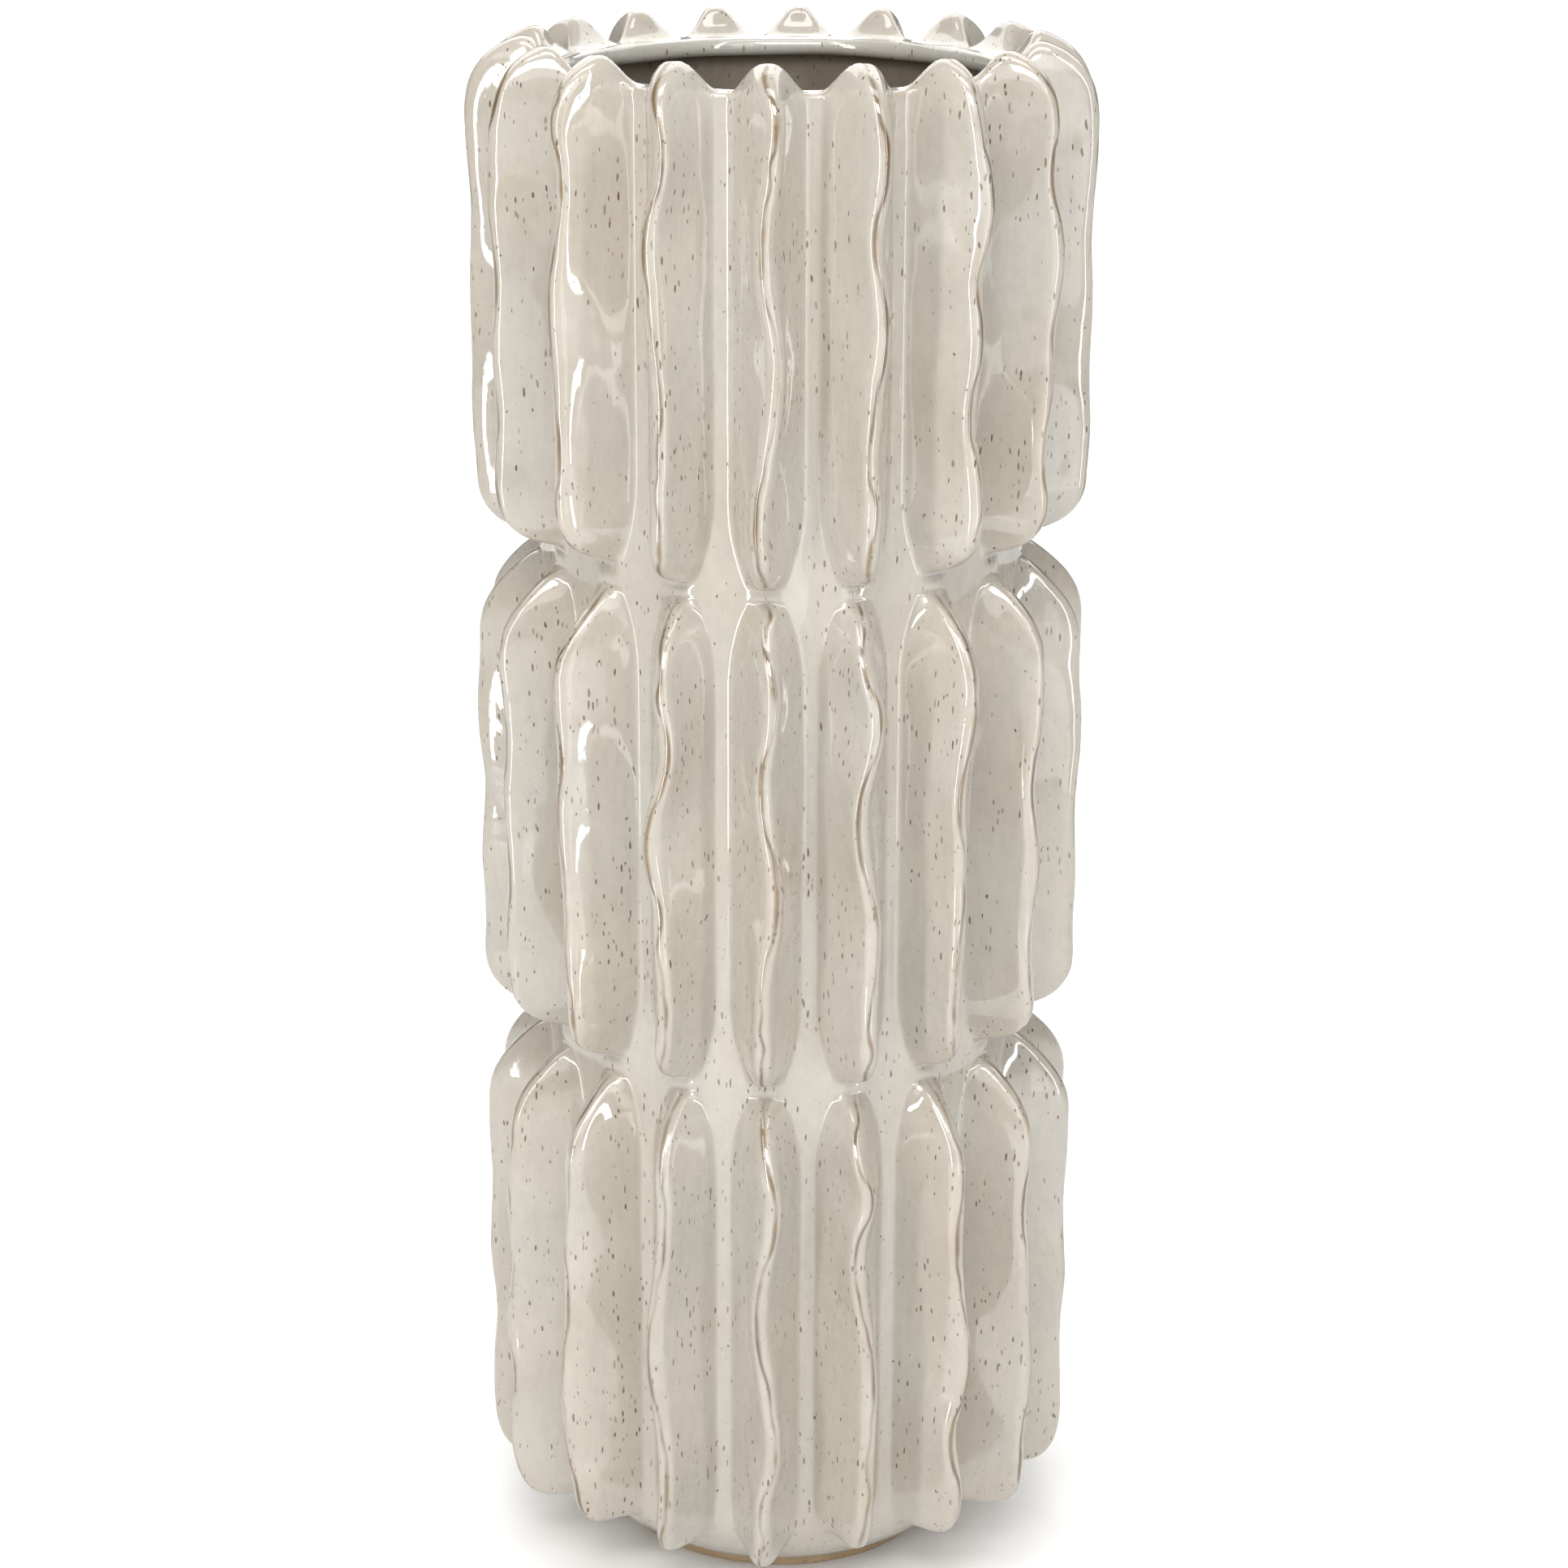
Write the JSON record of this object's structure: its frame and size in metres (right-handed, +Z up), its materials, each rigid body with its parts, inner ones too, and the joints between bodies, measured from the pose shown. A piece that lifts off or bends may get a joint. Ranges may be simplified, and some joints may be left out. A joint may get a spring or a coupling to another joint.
{
  "type": "vase",
  "caption": "Tall cylindrical stoneware vase with stacked tiers of wavy upright ribs, an open mouth and a narrow foot.",
  "frame": {"origin": "middle of the circle that the foot stands on", "axes": "+Z up along the vase's axis, -Y towards the front, +X to the right seen from the front"},
  "size_m": [0.1602, 0.1611, 0.4099],
  "materials": {
    "glaze": "glossy, iron-speckled off-white",
    "bare_clay": "matt, unglazed tan stoneware"
  },
  "bodies": {
    "root": {"body_wall": "glaze", "floor_slab": "glaze", "foot_ring": "bare_clay", "rim_ring": "glaze", "rib_lower_01": "glaze", "rib_lower_02": "glaze", "rib_lower_03": "glaze", "rib_lower_04": "glaze", "rib_lower_05": "glaze", "rib_lower_06": "glaze", "rib_lower_07": "glaze", "rib_lower_08": "glaze", "rib_lower_09": "glaze", "rib_lower_10": "glaze", "rib_lower_11": "glaze", "rib_lower_12": "glaze", "rib_lower_13": "glaze", "rib_lower_14": "glaze", "rib_lower_15": "glaze", "rib_lower_16": "glaze", "rib_lower_17": "glaze", "rib_lower_18": "glaze", "rib_middle_01": "glaze", "rib_middle_02": "glaze", "rib_middle_03": "glaze", "rib_middle_04": "glaze", "rib_middle_05": "glaze", "rib_middle_06": "glaze", "rib_middle_07": "glaze", "rib_middle_08": "glaze", "rib_middle_09": "glaze", "rib_middle_10": "glaze", "rib_middle_11": "glaze", "rib_middle_12": "glaze", "rib_middle_13": "glaze", "rib_middle_14": "glaze", "rib_middle_15": "glaze", "rib_middle_16": "glaze", "rib_middle_17": "glaze", "rib_middle_18": "glaze", "rib_upper_01": "glaze", "rib_upper_02": "glaze", "rib_upper_03": "glaze", "rib_upper_04": "glaze", "rib_upper_05": "glaze", "rib_upper_06": "glaze", "rib_upper_07": "glaze", "rib_upper_08": "glaze", "rib_upper_09": "glaze", "rib_upper_10": "glaze", "rib_upper_11": "glaze", "rib_upper_12": "glaze", "rib_upper_13": "glaze", "rib_upper_14": "glaze", "rib_upper_15": "glaze", "rib_upper_16": "glaze", "rib_upper_17": "glaze", "rib_upper_18": "glaze"}
  },
  "joints": []
}
